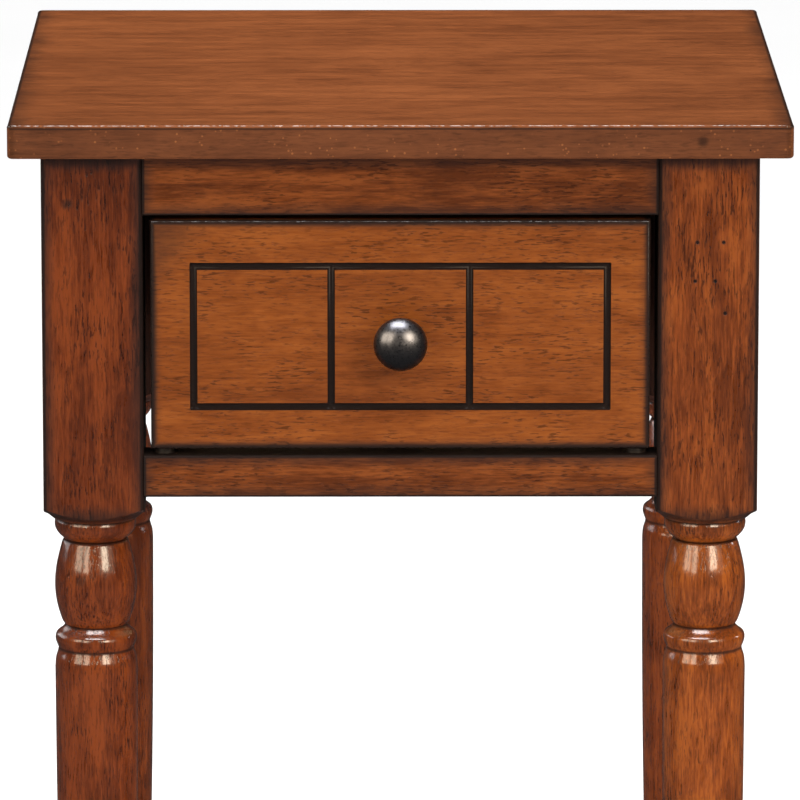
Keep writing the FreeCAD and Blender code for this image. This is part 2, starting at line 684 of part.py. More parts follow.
def group(name, master, places):
    """A node of like pieces: one copy of the master at every place."""
    copies = []
    for point, direction in places:
        piece = master.Shape.copy()
        piece.Placement = FreeCAD.Placement(V(*point), FreeCAD.Rotation(V(0, 0, 1), V(*direction)))
        copies.append(piece)
    node = DOC.addObject("Part::Feature", name)
    node.Shape = Part.makeCompound(copies)
    node.Placement = FreeCAD.Placement()
    node.Label = name
    return node


def fasteners():
    nodes = []
    long_screw = screw("long_screw", "screw_length")
    seat = value("table_height - top_thick - cleat_size")
    nodes.append(group("top_screws", long_screw,
                       [((value(x), value(y), seat), (0, 0, 1)) for x, y in top_screw_points()]))
    inner = value("post_reach - apron_recess - apron_thick - cleat_size")
    level = value(CLEAT_SCREW_HEIGHT)
    places = [((side * inner, value(y), level), (side, 0, 0)) for side in (-1, 1) for y in CLEAT_SCREWS]
    places += [((value(x), inner, level), (0, 1, 0)) for x in CLEAT_SCREWS]
    nodes.append(group("cleat_screws", long_screw, places))
    outer = value("post_reach - apron_recess")
    nodes.append(group("runner_screws", long_screw,
                       [((value(x), outer, value(z)), (0, -1, 0)) for x, z in RUNNER_SCREWS]))
    short_screw = screw("short_screw", "screw_length / 2")
    plate = value("drawer_rear + 0.2 + guide_plate")
    nodes.append(group("rear_guide_screws", short_screw,
                       [((value(x), plate, value(z)), (0, -1, 0)) for x, z in GUIDE_SCREWS]))
    knob_level = value(height("knob_drop"))
    nodes.append(group("knob_screw", long_screw, [((0, value(FRONT_BACK), knob_level), (0, -1, 0))]))
    brad = cylinder("brad", "brad_radius", "brad_length")
    DOC.recompute()
    places = []
    for side in (-1, 1):
        places += [((side * size("side_outer"), value(y), value(z)), (-side, 0, 0)) for y, z in BRADS]
    low = value(f"{height('bottom_drop')} - bottom_thick")
    places += [((value(x), value(y), low), (0, 0, 1)) for x, y in BOTTOM_BRADS]
    nodes.append(group("drawer_brads", brad, places))
    nail = cylinder("nail", "nail_radius", "nail_length")
    DOC.recompute()
    reach = value("post_reach - post_size / 2")
    level = size("glide_thick") / 2
    nodes.append(group("foot_glide_nails", nail,
                       [((side * reach, end * reach, level), (0, 0, 1)) for side, end in LEGS.values()]))
    return nodes


def pads():
    """The nylon pads that the drawer slides on, and the rubber buffers that it closes against."""
    nodes = []
    rail_top = height("lower_rail_top_drop")
    pad_height = value("lower_rail_top_drop - front_bottom_drop - running_gap")
    glide = cylinder("pad_disc", "pad_radius", "lower_rail_top_drop - front_bottom_drop - running_gap")
    rounded = DOC.addObject("Part::Fillet", "pad_rounded")
    rounded.Base = glide
    DOC.recompute()
    rim = [i for i, e in enumerate(glide.Shape.Edges, start=1) if e.BoundBox.ZMin > pad_height - 0.01]
    rounded.Edges = [(i, 1.5, 1.5) for i in rim]
    DOC.recompute()
    line = value("side_outer - side_thick / 2")
    nodes.append(group("drawer_glides", rounded,
                       [((side * line, value(RAIL_LINE), value(rail_top)), (0, 0, 1)) for side in (-1, 1)]))
    inner = value("post_reach - apron_recess - apron_thick")
    buffer = cylinder("buffer_stub", "pad_radius",
                      "post_reach - apron_recess - apron_thick - drawer_rear - running_gap")
    DOC.recompute()
    nodes.append(group("drawer_bumpers", buffer,
                       [((x, inner, value(height("105"))), (0, -1, 0)) for x in (-80, 80)]))
    return nodes


def write_parts(loose):
    """Checks every object and writes each sub-part to its own file."""
    DOC.recompute()
    for item in DOC.Objects:
        if "Invalid" in item.State or "Error" in item.State:
            raise RuntimeError(f"{item.Name} did not recompute: {item.State}")
    os.makedirs("parts", exist_ok=True)
    bodies = [o for o in DOC.Objects if o.TypeId == "PartDesign::Body"]
    for node in bodies + loose:
        shape = node.Shape
        if shape.isNull() or not shape.isValid() or shape.Volume < 1.0:
            raise RuntimeError(f"{node.Label} has no valid solid")
        shape.exportStep(f"parts/{node.Label}.step")
        print(node.Label, len(shape.Solids), "solid(s)", round(shape.Volume))


table_top()
for leg_name, (leg_side, leg_end) in LEGS.items():
    leg(leg_name, leg_side, leg_end)
upper_front_rail()
lower_front_rail()
aprons()
cleats()
centre_runner()
drawer_front()
drawer_sides()
drawer_back()
drawer_bottom()
knob()
rear_guide()
foot_glides()
write_parts(pads() + fasteners())
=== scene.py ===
import math

import bpy
from bpy.props import FloatProperty, IntProperty, PointerProperty
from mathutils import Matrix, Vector


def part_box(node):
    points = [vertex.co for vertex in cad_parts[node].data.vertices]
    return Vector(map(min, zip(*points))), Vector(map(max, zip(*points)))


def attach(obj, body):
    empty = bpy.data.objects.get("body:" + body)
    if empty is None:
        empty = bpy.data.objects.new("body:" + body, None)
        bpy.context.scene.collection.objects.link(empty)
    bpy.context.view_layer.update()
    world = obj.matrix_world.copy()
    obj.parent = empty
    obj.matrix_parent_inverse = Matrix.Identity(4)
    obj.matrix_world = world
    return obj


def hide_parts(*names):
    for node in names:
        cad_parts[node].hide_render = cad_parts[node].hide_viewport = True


bl_info = {
    "name": "Side table with drawer",
    "blender": (4, 5, 0),
    "version": (1, 0, 0),
    "location": "View3D > Sidebar > Side table",
    "description": "Builds a small turned-leg side table with one drawer",
    "category": "Add Mesh",
}

AXES = "XYZ"
GRAIN_ALONG = {"X": 0, "Y": 1, "Z": 2}
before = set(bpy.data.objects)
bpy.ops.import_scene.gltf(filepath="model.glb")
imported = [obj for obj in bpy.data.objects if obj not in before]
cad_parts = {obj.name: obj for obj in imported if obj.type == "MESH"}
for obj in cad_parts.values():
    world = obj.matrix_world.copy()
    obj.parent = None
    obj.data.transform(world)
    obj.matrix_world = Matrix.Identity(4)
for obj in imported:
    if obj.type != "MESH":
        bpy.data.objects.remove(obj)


# ------------------------------------------------------------------ settings

class JoinerySettings(bpy.types.PropertyGroup):
    """Sizes of the table's woodwork."""

    corner_radius: FloatProperty(name="Corner radius", description="Plan radius of the top's corners",
                                 default=0.0030, unit="LENGTH", subtype="DISTANCE")
    top_arris: FloatProperty(name="Top arris", description="Rounding of the top's arrises",
                             default=0.0015, unit="LENGTH", subtype="DISTANCE")
    board_arris: FloatProperty(name="Board arris", description="Rounding of the rails and aprons",
                               default=0.0011, unit="LENGTH", subtype="DISTANCE")
    post_arris: FloatProperty(name="Post arris", description="Rounding of the posts' upright edges",
                              default=0.0035, unit="LENGTH", subtype="DISTANCE")
    front_arris: FloatProperty(name="Drawer front arris", description="Rounding round the drawer front",
                               default=0.0018, unit="LENGTH", subtype="DISTANCE")
    tenon_length: FloatProperty(name="Tenon length", description="How far each tenon goes into its post",
                                default=0.020, unit="LENGTH", subtype="DISTANCE")
    groove_radius: FloatProperty(name="Groove radius", description="Radius of the router bit",
                                 default=0.0020, unit="LENGTH", subtype="DISTANCE")
    groove_depth: FloatProperty(name="Groove depth", description="Depth of the grooves in the drawer front",
                                default=0.0024, unit="LENGTH", subtype="DISTANCE")
    lathe_sides: IntProperty(name="Lathe sides", description="Facets round a turned piece", default=112)


class StageSettings(bpy.types.PropertyGroup):
    """The camera: its lens, its place, its pitch and its yaw."""

    lens: FloatProperty(name="Lens", description="Focal length in millimetres", default=361.4)
    camera_x: FloatProperty(name="Camera X", description="Sideways place of the camera", default=-0.0181,
                            unit="LENGTH", subtype="DISTANCE")
    camera_y: FloatProperty(name="Camera Y", description="Distance in front of the table", default=-4.290,
                            unit="LENGTH", subtype="DISTANCE")
    camera_z: FloatProperty(name="Camera Z", description="Height of the camera", default=1.2990,
                            unit="LENGTH", subtype="DISTANCE")
    pitch: FloatProperty(name="Pitch", description="Tilt of the camera below level",
                         default=math.radians(11.19), subtype="ANGLE")
    yaw: FloatProperty(name="Yaw", description="Turn of the camera to the right",
                       default=math.radians(0.25), subtype="ANGLE")


# ------------------------------------------------------------- small helpers

def deselect():
    bpy.ops.object.select_all(action="DESELECT")


def activate(obj):
    deselect()
    obj.select_set(True)
    bpy.context.view_layer.objects.active = obj


def edit(obj, mode):
    """Opens a mesh for editing with nothing selected, in one select mode."""
    if bpy.context.mode != "OBJECT":
        bpy.ops.object.mode_set(mode="OBJECT")
    activate(obj)
    bpy.ops.object.mode_set(mode="EDIT")
    bpy.ops.mesh.select_mode(type=mode)
    bpy.ops.mesh.select_all(action="DESELECT")


def pick(obj, edges=None, faces=None):
    """Selects edges or faces of the mesh being edited by a test on their place."""
    bpy.ops.object.mode_set(mode="OBJECT")
    mesh = obj.data
    if edges:
        for edge in mesh.edges:
            a, b = (mesh.vertices[i].co for i in edge.vertices)
            edge.select = bool(edges(a, b))
    if faces:
        for face in mesh.polygons:
            face.select = bool(faces(face.center, face.normal))
    bpy.ops.object.mode_set(mode="EDIT")


def freeze(obj):
    activate(obj)
    bpy.ops.object.transform_apply(location=True, rotation=True, scale=True)


def block(name, low, high):
    """A block between two corners, with its object left at the origin."""
    centre = (Vector(low) + Vector(high)) / 2
    deselect()
    bpy.ops.mesh.primitive_cube_add(size=1, location=centre, scale=Vector(high) - Vector(low))
    obj = bpy.context.object
    obj.name = name
    freeze(obj)
    return obj


def apply(obj, kind, **values):
    """Adds one modifier with its values and applies it at once."""
    activate(obj)
    modifier = obj.modifiers.new(kind.title(), kind)
    for key, value in values.items():
        setattr(modifier, key, value)
    bpy.ops.object.modifier_apply(modifier=modifier.name)


def carve(obj, tool, operation):
    """Cuts one solid by another and throws the tool away."""
    apply(obj, "BOOLEAN", operation=operation, solver="EXACT", object=tool)
    mesh = tool.data
    bpy.data.objects.remove(tool)
    bpy.data.meshes.remove(mesh)


def finish_mesh(obj, angle=35.0):
    """Cleans a finished piece and gives it even shading."""
    edit(obj, "VERT")
    bpy.ops.mesh.select_all(action="SELECT")
    bpy.ops.mesh.remove_doubles(threshold=0.00001)
    bpy.ops.mesh.normals_make_consistent(inside=False)
    bpy.ops.object.mode_set(mode="OBJECT")
    bpy.ops.object.shade_smooth_by_angle(angle=math.radians(angle))
    apply(obj, "WEIGHTED_NORMAL", keep_sharp=True, weight=80)


def settle(obj, body, node, material):
    """Gives a finished piece its finish and its place in the table, and hides the solid that it stands for.
    """
    obj.data.materials.clear()
    obj.data.materials.append(material)
    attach(obj, body)
    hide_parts(node)


def resize_to(obj, low, high):
    """Stretches a board by the last few hundredths of a millimetre, to exactly its box."""
    corners = [obj.matrix_world @ Vector(c) for c in obj.bound_box]
    least = [min(c[i] for c in corners) for i in range(3)]
    most = [max(c[i] for c in corners) for i in range(3)]
    middle = [(low[i] + high[i]) / 2 for i in range(3)]
    edit(obj, "VERT")
    bpy.ops.mesh.select_all(action="SELECT")
    bpy.ops.transform.resize(value=[(high[i] - low[i]) / (most[i] - least[i]) for i in range(3)],
                             center_override=middle)
    bpy.ops.object.mode_set(mode="OBJECT")


def along(a, b, axis):
    """True for an edge that lies along one axis."""
    step = b - a
    return step.length > 1e-6 and abs(abs(step[axis]) - step.length) < 1e-6


def near(value, target):
    return abs(value - target) < 2e-5


# ----------------------------------------------------------------- materials

class Nodes:
    """A short way to wire up one material."""

    def __init__(self, name):
        self.material = bpy.data.materials.new(name)
        self.material.use_nodes = True
        self.tree = self.material.node_tree
        self.shader = self.tree.nodes["Principled BSDF"]
        self.place = self.add("ShaderNodeTexCoord").outputs["Object"]

    def add(self, kind, **values):
        node = self.tree.nodes.new(kind)
        for key, value in values.items():
            setattr(node, key, value)
        return node

    def feed(self, socket, source):
        if isinstance(source, bpy.types.NodeSocket):
            self.tree.links.new(source, socket)
        else:
            socket.default_value = source

    def math(self, operation, *sources, clamp=False):
        node = self.add("ShaderNodeMath", operation=operation, use_clamp=clamp)
        for socket, source in zip(node.inputs, sources):
            self.feed(socket, source)
        return node.outputs[0]

    def times(self, first, second):
        return self.math("MULTIPLY", first, second)

    def most(self, masks):
        """The largest of several masks."""
        result = masks[0]
        for mask in masks[1:]:
            result = self.math("MAXIMUM", result, mask)
        return result

    def stretch(self, scale, shift=(0, 0, 0)):
        node = self.add("ShaderNodeMapping")
        self.feed(node.inputs["Vector"], self.place)
        node.inputs["Location"].default_value = shift
        node.inputs["Scale"].default_value = scale
        return node.outputs[0]

    def noise(self, vector, scale, detail=3.0, rough=0.5, distort=0.0):
        node = self.add("ShaderNodeTexNoise")
        self.feed(node.inputs["Vector"], vector)
        node.inputs["Scale"].default_value = scale
        node.inputs["Detail"].default_value = detail
        node.inputs["Roughness"].default_value = rough
        node.inputs["Distortion"].default_value = distort
        return node.outputs["Fac"]

    def cells(self, vector, scale):
        node = self.add("ShaderNodeTexVoronoi", feature="F1")
        self.feed(node.inputs["Vector"], vector)
        node.inputs["Scale"].default_value = scale
        return node.outputs["Distance"]

    def between(self, source, low, high, to_low=0.0, to_high=1.0):
        """Rises smoothly from to_low to to_high as the source goes from low to high."""
        node = self.add("ShaderNodeMapRange", interpolation_type="SMOOTHSTEP")
        self.feed(node.inputs["Value"], source)
        node.inputs["From Min"].default_value = low
        node.inputs["From Max"].default_value = high
        node.inputs["To Min"].default_value = to_low
        node.inputs["To Max"].default_value = to_high
        return node.outputs["Result"]

    def mix(self, amount, first, second, blend="MIX"):
        node = self.add("ShaderNodeMix", data_type="RGBA", blend_type=blend)
        self.feed(node.inputs[0], amount)
        for socket, source in ((node.inputs[6], first), (node.inputs[7], second)):
            self.feed(socket, source if isinstance(source, bpy.types.NodeSocket) else (*source, 1.0))
        return node.outputs[2]

    def ramp(self, source, stops):
        node = self.add("ShaderNodeValToRGB")
        self.feed(node.inputs["Fac"], source)
        elements = node.color_ramp.elements
        while len(elements) < len(stops):
            elements.new(0.5)
        for element, (at, colour) in zip(elements, stops):
            element.position = at
            element.color = (*colour, 1.0)
        return node.outputs["Color"]

    def part(self, axis):
        node = self.add("ShaderNodeSeparateXYZ")
        self.feed(node.inputs[0], self.place)
        return node.outputs[axis]

    def bump(self, height, distance, strength=1.0, base=None):
        node = self.add("ShaderNodeBump")
        self.feed(node.inputs["Height"], height)
        node.inputs["Distance"].default_value = distance
        node.inputs["Strength"].default_value = strength
        if base is not None:
            self.feed(node.inputs["Normal"], base)
        return node.outputs["Normal"]

    def spot(self, centre, inner, outer, strength=1.0):
        """A soft round mark about a point of the piece."""
        node = self.add("ShaderNodeVectorMath", operation="DISTANCE")
        self.feed(node.inputs[0], self.place)
        node.inputs[1].default_value = centre
        return self.between(node.outputs["Value"], inner, outer, strength, 0.0)

    def edge_distance(self, low, high):
        """How far a point on a block's face is from the nearest arris of the block."""
        inside = []
        for axis in range(3):
            middle, half = (low[axis] + high[axis]) / 2, (high[axis] - low[axis]) / 2
            offset = self.math("ABSOLUTE", self.math("SUBTRACT", self.part(axis), middle))
            inside.append(self.math("SUBTRACT", half, offset))
        x, y, z = inside
        least = self.math("MINIMUM", self.math("MINIMUM", x, y), z)
        most = self.math("MAXIMUM", self.math("MAXIMUM", x, y), z)
        total = self.math("ADD", self.math("ADD", x, y), z)
        return self.math("SUBTRACT", self.math("SUBTRACT", total, least), most)


def grain_scale(axis, ratio):
    """Mapping that stretches a texture along the grain."""
    scale = [1.0, 1.0, 1.0]
    scale[GRAIN_ALONG[axis]] = 1.0 / ratio
    return tuple(scale)


def figure(n, axis, shift):
    """The wood's figure: its whole tone, its smudges and its fibres."""
    cloud = n.noise(n.stretch(grain_scale(axis, 1.8), shift), 17.0, 4.0, 0.6, 0.6)
    smudge = n.noise(n.stretch(grain_scale(axis, 3.0), shift), 90.0, 4.0, 0.65, 0.8)
    band = n.noise(n.stretch(grain_scale(axis, 14.0), shift), 120.0, 4.0, 0.65, 0.4)
    fibre = n.noise(n.stretch(grain_scale(axis, 12.0), shift), 900.0, 3.0, 0.65)
    tone = n.times(cloud, 0.24)
    for layer, share in ((smudge, 0.22), (band, 0.28), (fibre, 0.26)):
        tone = n.math("ADD", tone, n.times(layer, share))
    return tone, smudge, fibre


def pore_mask(n, axis, shift, strength):
    """Short open pores along the grain, closer together in some patches."""
    field = n.noise(n.stretch(grain_scale(axis, 7.0), shift), 1150.0, 2.0, 0.55)
    patch = n.noise(n.stretch(grain_scale(axis, 1.6), shift), 48.0, 3.0, 0.6)
    open_grain = n.times(n.between(field, 0.55, 0.62), n.between(patch, 0.40, 0.60, 0.35, 1.0))
    return n.times(open_grain, strength)


def glaze_and_shade_mask(n, shift, box, edge, shade):
    """Dark glazing: a line and a haze along a block's arrises, and the masks that shade adds, which also hold
    painted shade.
    """
    line, haze, strength = edge
    masks = []
    if box:
        gap = n.edge_distance(*box)
        wobble = n.noise(n.stretch((1, 1, 1), shift), 55.0, 3.0, 0.6)
        loose = n.math("ADD", gap, n.times(n.math("SUBTRACT", wobble, 0.5), haze * 0.9))
        masks += [n.between(loose, 0.0, haze, strength * 0.55, 0.0),
                  n.between(gap, line * 0.4, line * 1.6, strength, 0.0)]
    return n.most(masks + shade(n))


def fleck_mask(n, shift, strength):
    """Small dark flecks, in some patches only."""
    spots = n.between(n.cells(n.stretch((1, 1, 1), shift), 95.0), 0.035, 0.075, strength, 0.0)
    return n.times(spots, n.between(n.noise(n.stretch((1, 1, 1), shift), 31.0, 1.0), 0.52, 0.60))


# Colour of the dark glaze at arrises, and of the painted shade in gaps, grooves, creases and under the top.
GLAZE_AND_SHADE = (0.010, 0.007, 0.006)
FLECK = (0.02, 0.01, 0.008)
PIT = (0.016, 0.007, 0.004)


def stained_wood(name, axis, seed, light, mid, dark, shade, box=None, edge=(0.0012, 0.006, 0.9),
                 pores=0.5, gloss=0.3, coat=0.35, coat_rough=0.16, coat_ior=1.5, specular=0.12,
                 flecks=0.0, marks=(), glint=None, wash=None, contrast=0.065):
    """Stained and lacquered wood: mottled tone, streaks along the grain, pores, dark glazing and painted
    shade.

    shade is a function that returns masks of dark glazing and of painted shade for the piece, given its
    nodes.
    box is a block's (low, high) corners, and edge is (line width, haze width, strength) of the glazing at its
    arrises. marks are dark pits and knots as (centre, inner radius, outer radius, strength). glint is a
    function that returns the mask of the rubbed arrises, where the lacquer shines. wash is (a function that
    returns a mask, a colour that the stain is multiplied by there). contrast is lower for stronger figure."""
    n = Nodes(name)
    shift = (seed * 1.37, seed * -2.11, seed * 0.73)
    tone, smudge, fibre = figure(n, axis, shift)
    colour = n.ramp(tone, [(0.50 - contrast, dark), (0.50, mid), (0.50 + contrast, light)])
    if wash:
        colour = n.mix(wash[0](n), colour, wash[1], "MULTIPLY")
    pore = pore_mask(n, axis, shift, pores)
    colour = n.mix(pore, colour, tuple(0.30 * c for c in dark))
    # Dark glazing at arrises together with painted shade in gaps, grooves and creases, as one mask.
    glaze_and_shade = glaze_and_shade_mask(n, shift, box, edge, shade)
    colour = n.mix(glaze_and_shade, colour, GLAZE_AND_SHADE)
    if flecks:
        colour = n.mix(fleck_mask(n, shift, flecks), colour, FLECK)
    pits = [n.spot(*mark) for mark in marks]
    for pit in pits:
        colour = n.mix(pit, colour, PIT)
    n.feed(n.shader.inputs["Base Color"], colour)
    rough = n.between(n.math("ADD", n.times(smudge, 0.6), n.times(fibre, 0.4)),
                      0.3, 0.7, gloss - 0.05, gloss + 0.10)
    n.feed(n.shader.inputs["Roughness"], n.math("ADD", rough, n.times(glaze_and_shade, 0.45), clamp=True))
    relief = n.math("SUBTRACT", n.times(fibre, 0.4), n.times(pore, 1.2))
    if pits:
        relief = n.math("SUBTRACT", relief, n.times(n.most(pits), 2.5))
    warp = n.noise(n.stretch(grain_scale(axis, 2.0), shift), 7.0, 2.0)
    n.feed(n.shader.inputs["Normal"], n.bump(warp, 0.0016, 0.12, n.bump(relief, 0.00025, 0.8)))
    if glint:
        worn = n.between(n.noise(n.stretch((1, 1, 1), shift), 420.0, 3.0, 0.6), 0.44, 0.56)
        weight = n.math("ADD", coat, n.times(n.times(glint(n), worn), 1.0 - coat))
    else:
        weight = n.times(n.math("SUBTRACT", 1.0, glaze_and_shade), coat)
    n.feed(n.shader.inputs["Coat Weight"], weight)
    n.shader.inputs["Coat Roughness"].default_value = coat_rough
    n.shader.inputs["Coat IOR"].default_value = coat_ior
    n.shader.inputs["Specular IOR Level"].default_value = specular
    ripple = n.bump(n.noise(n.stretch((1, 1, 1), shift), 160.0, 2.0), 0.0002, 0.25)
    coat_wave = n.bump(n.math("SUBTRACT", n.times(fibre, 0.5), pore), 0.00012, 0.55, ripple)
    n.feed(n.shader.inputs["Coat Normal"], coat_wave)
    return n.material


def plain_wood(name, axis, light, dark, ply=False):
    """Sanded wood with a thin clear coat. Plywood shows its layers at the edges."""
    n = Nodes(name)
    broad = n.noise(n.stretch(grain_scale(axis, 6.0)), 30.0, 4.0, 0.6, 1.0)
    fibre = n.noise(n.stretch(grain_scale(axis, 30.0)), 500.0, 3.0, 0.6)
    tone = n.math("ADD", n.times(broad, 0.65), n.times(fibre, 0.35))
    if ply:
        layer = n.math("PINGPONG", n.part(2), 0.0012)
        tone = n.math("ADD", tone, n.between(layer, 0.0004, 0.0008, -0.05, 0.05))
    colour = n.ramp(tone, [(0.32, dark), (0.66, light)])
    pore = n.between(n.noise(n.stretch(grain_scale(axis, 12.0)), 800.0, 2.0), 0.60, 0.70)
    filled = tuple(0.4 * c for c in dark)
    n.feed(n.shader.inputs["Base Color"], n.mix(n.times(pore, 0.5), colour, filled))
    n.feed(n.shader.inputs["Roughness"], n.between(fibre, 0.3, 0.7, 0.42, 0.58))
    n.feed(n.shader.inputs["Normal"], n.bump(n.math("SUBTRACT", fibre, pore), 0.0001, 0.5))
    n.shader.inputs["Specular IOR Level"].default_value = 0.4
    return n.material


def metal(name, light, dark, rough, spread, grain=240.0):
    """Metal with a patchy surface, fine scratches and small pits."""
    n = Nodes(name)
    patch = n.noise(n.stretch((1, 1, 1)), grain, 4.0, 0.6, 0.5)
    scratch = n.noise(n.stretch((1, 1, 0.08)), grain * 9, 2.0, 0.6)
    n.feed(n.shader.inputs["Base Color"], n.ramp(patch, [(0.35, dark), (0.65, light)]))
    n.feed(n.shader.inputs["Roughness"], n.between(patch, 0.3, 0.7, rough - spread, rough + spread))
    height = n.math("ADD", n.times(patch, 0.7), n.times(scratch, 0.3))
    n.feed(n.shader.inputs["Normal"], n.bump(height, 0.00006, 0.5))
    n.shader.inputs["Metallic"].default_value = 1.0
    return n.material


def moulded(name, light, dark, rough):
    """Moulded nylon or rubber with a faint grain."""
    n = Nodes(name)
    patch = n.noise(n.stretch((1, 1, 1)), 180.0, 4.0, 0.6)
    speck = n.noise(n.stretch((1, 1, 1)), 2200.0, 2.0, 0.5)
    n.feed(n.shader.inputs["Base Color"], n.ramp(patch, [(0.35, dark), (0.65, light)]))
    n.feed(n.shader.inputs["Roughness"], n.between(speck, 0.3, 0.7, rough - 0.06, rough + 0.08))
    n.feed(n.shader.inputs["Normal"], n.bump(n.math("ADD", patch, speck), 0.00008, 0.4))
    return n.material


# Stain tones, as (light, middle, dark) in linear colour.
TOP_TONES = ((0.2949, 0.0887, 0.0262), (0.2211, 0.0637, 0.0184), (0.1474, 0.0405, 0.0114))
POST_TONES = ((0.1910, 0.0357, 0.0046), (0.1337, 0.0234, 0.0033), (0.0802, 0.0135, 0.0021))
REAR_TONES = ((0.2919, 0.0580, 0.0056), (0.2042, 0.0379, 0.0040), (0.1227, 0.0218, 0.0025))
RIGHT_POST_TONES = ((0.2673, 0.0592, 0.0065), (0.1826, 0.0364, 0.0045), (0.1069, 0.0205, 0.0028))
RAIL_TONES = ((0.2152, 0.0532, 0.0086), (0.1511, 0.0352, 0.0061), (0.0916, 0.0206, 0.0041))
FRONT_TONES = ((0.2697, 0.0698, 0.0092), (0.2097, 0.0505, 0.0067), (0.1386, 0.0312, 0.0046))
APRON_TONES = ((0.1936, 0.0420, 0.0067), (0.1364, 0.0277, 0.0046), (0.0836, 0.0165, 0.0029))


# ------------------------------------------------------------------ the top

class TABLE_OT_top(bpy.types.Operator):
    """Builds the square top with rounded corners and eased arrises"""

    bl_idname = "side_table.top"
    bl_label = "Table top"

    def execute(self, context):
        s = context.scene.side_table
        low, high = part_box("table_top")
        top = block("table_top_board", low, high)
        edit(top, "EDGE")
        pick(top, edges=lambda a, b: along(a, b, 2))
        bpy.ops.mesh.bevel(offset=s.corner_radius, segments=8, profile=0.5, affect="EDGES")
        pick(top, edges=lambda a, b: near(a.z, b.z) and (near(a.z, low[2]) or near(a.z, high[2])))
        bpy.ops.mesh.bevel(offset=s.top_arris, segments=5, profile=0.5, affect="EDGES")
        bpy.ops.object.mode_set(mode="OBJECT")
        finish_mesh(top)
        resize_to(top, low, high)

        def front_edge(n):
            return n.between(n.part(1), low[1] + 0.0004, low[1] + 0.0012, 1.0, 0.0)

        def shade(n):
            x, y, z = n.math("ABSOLUTE", n.part(0)), n.part(1), n.part(2)
            wobble = n.times(n.noise(n.stretch((1, 1, 1)), 34.0, 4.0, 0.6), 0.020)
            smear = n.math("ADD", x, wobble)
            side_haze = n.between(smear, high[0] - 0.006, high[0] + 0.014, 0.0, 0.75)
            side_line = n.times(n.between(x, high[0] - 0.0038, high[0] - 0.0014, 0.0, 0.90),
                               n.between(z, high[2] - 0.003, high[2] - 0.001, 0.35, 1.0))
            back_line = n.between(y, high[1] - 0.0050, high[1] - 0.0012, 0.0, 0.85)
            level = n.math("ABSOLUTE", n.math("SUBTRACT", z, high[2] - 0.0022))
            front_line = n.times(n.between(level, 0.0003, 0.0010, 0.80, 0.0), front_edge(n))
            # Painted shade on the top's underside and the lowest two millimetres of its edges.
            underside_shade = n.between(z, low[2] + 0.0002, low[2] + 0.0018, 0.35, 0.0)
            # The front edge face, darker below its arris.
            lower_edge = n.between(z, high[2] - 0.0022, high[2] - 0.0016, 0.50, 0.0)
            return [n.times(side_haze, n.between(z, high[2] - 0.004, high[2] - 0.001)),
                    side_line, back_line, front_line, underside_shade, n.times(lower_edge, front_edge(n)),
                    # A little darker within 70 mm of the front, and towards the right end.
                    n.between(y, low[1] + 0.004, low[1] + 0.070, 0.11, 0.0),
                    n.between(n.part(0), 0.080, high[0], 0.0, 0.10)]

        def specks(n):
            dots = n.between(n.cells(n.stretch((1, 1, 1)), 330.0), 0.14, 0.24, 1.0, 0.0)
            some = n.between(n.noise(n.stretch((1, 1, 1)), 70.0, 2.0), 0.50, 0.58)
            return n.times(n.times(dots, some), front_edge(n))

        def rubbed(n):
            y, z = n.part(1), n.part(2)
            front = n.between(y, low[1] + 0.0016, low[1] + 0.0022, 1.0, 0.0)
            return n.times(front, n.between(z, high[2] - 0.0018, high[2] - 0.0012))

        marks = [((0.156, low[1], high[2] - 0.009), 0.001, 0.004, 0.7)]
        wood = stained_wood("top_stain", "X", 1.0, *TOP_TONES, shade, pores=0.35, gloss=0.42, coat=0.06,
                            coat_rough=0.10, coat_ior=1.8, specular=0.08, contrast=0.095, flecks=0.9,
                            marks=marks, glint=rubbed, wash=(specks, (1.9, 2.1, 2.0)))
        settle(top, "table", "table_top", wood)
        return {"FINISHED"}


# ----------------------------------------------------------------- the legs

# The leg's turned profile, as (radius, drop below the square part's lower face). POMMEL is the shoulder
# that the square part ends in, and the runs of TURNINGS meet at crisp edges.
POMMEL = [(0.0370, -0.0060), (0.0360, -0.0051), (0.0310, -0.0024), (0.0263, 0.0000), (0.0242, 0.0016),
          (0.0223, 0.0031), (0.0208, 0.0036)]
TURNINGS = [
    [(0.0208, 0.0036), (0.0213, 0.0050), (0.0214, 0.0068), (0.0209, 0.0092), (0.0191, 0.0120),
     (0.0159, 0.0150)],
    [(0.0159, 0.0150), (0.0174, 0.0162), (0.0198, 0.0252), (0.0210, 0.0318), (0.0215, 0.0382),
     (0.0212, 0.0446), (0.0201, 0.0510), (0.0179, 0.0582), (0.0161, 0.0610)],
    [(0.0161, 0.0610), (0.0180, 0.0632), (0.0206, 0.0652), (0.0214, 0.0675), (0.0211, 0.0700),
     (0.0198, 0.0734)],
    [(0.0198, 0.0734), (0.0202, 0.0752), (0.0213, 0.0791), (0.0217, 0.0839)],
    [(0.0217, 0.0839), (0.0213, 0.1550), (0.0202, 0.2280), (0.0183, 0.3000), (0.0154, 0.3660)],
    [(0.0154, 0.3660), (0.0172, 0.3682), (0.0182, 0.3720), (0.0172, 0.3758), (0.0144, 0.3780)],
    [(0.0144, 0.3780), (0.0159, 0.3830), (0.0164, 0.3890), (0.0150, 0.4020), (0.0125, 0.4204)],
]
# From the top of the table to the square part's lower face.
POMMEL_DROP = 0.2116
# The drops of the creases between the rings, where painted shade darkens the wood.
SHADED_CREASES = (0.0036, 0.0150, 0.0610, 0.0734, 0.3660, 0.3780)

POST_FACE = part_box("leg_front_left")[0][1]
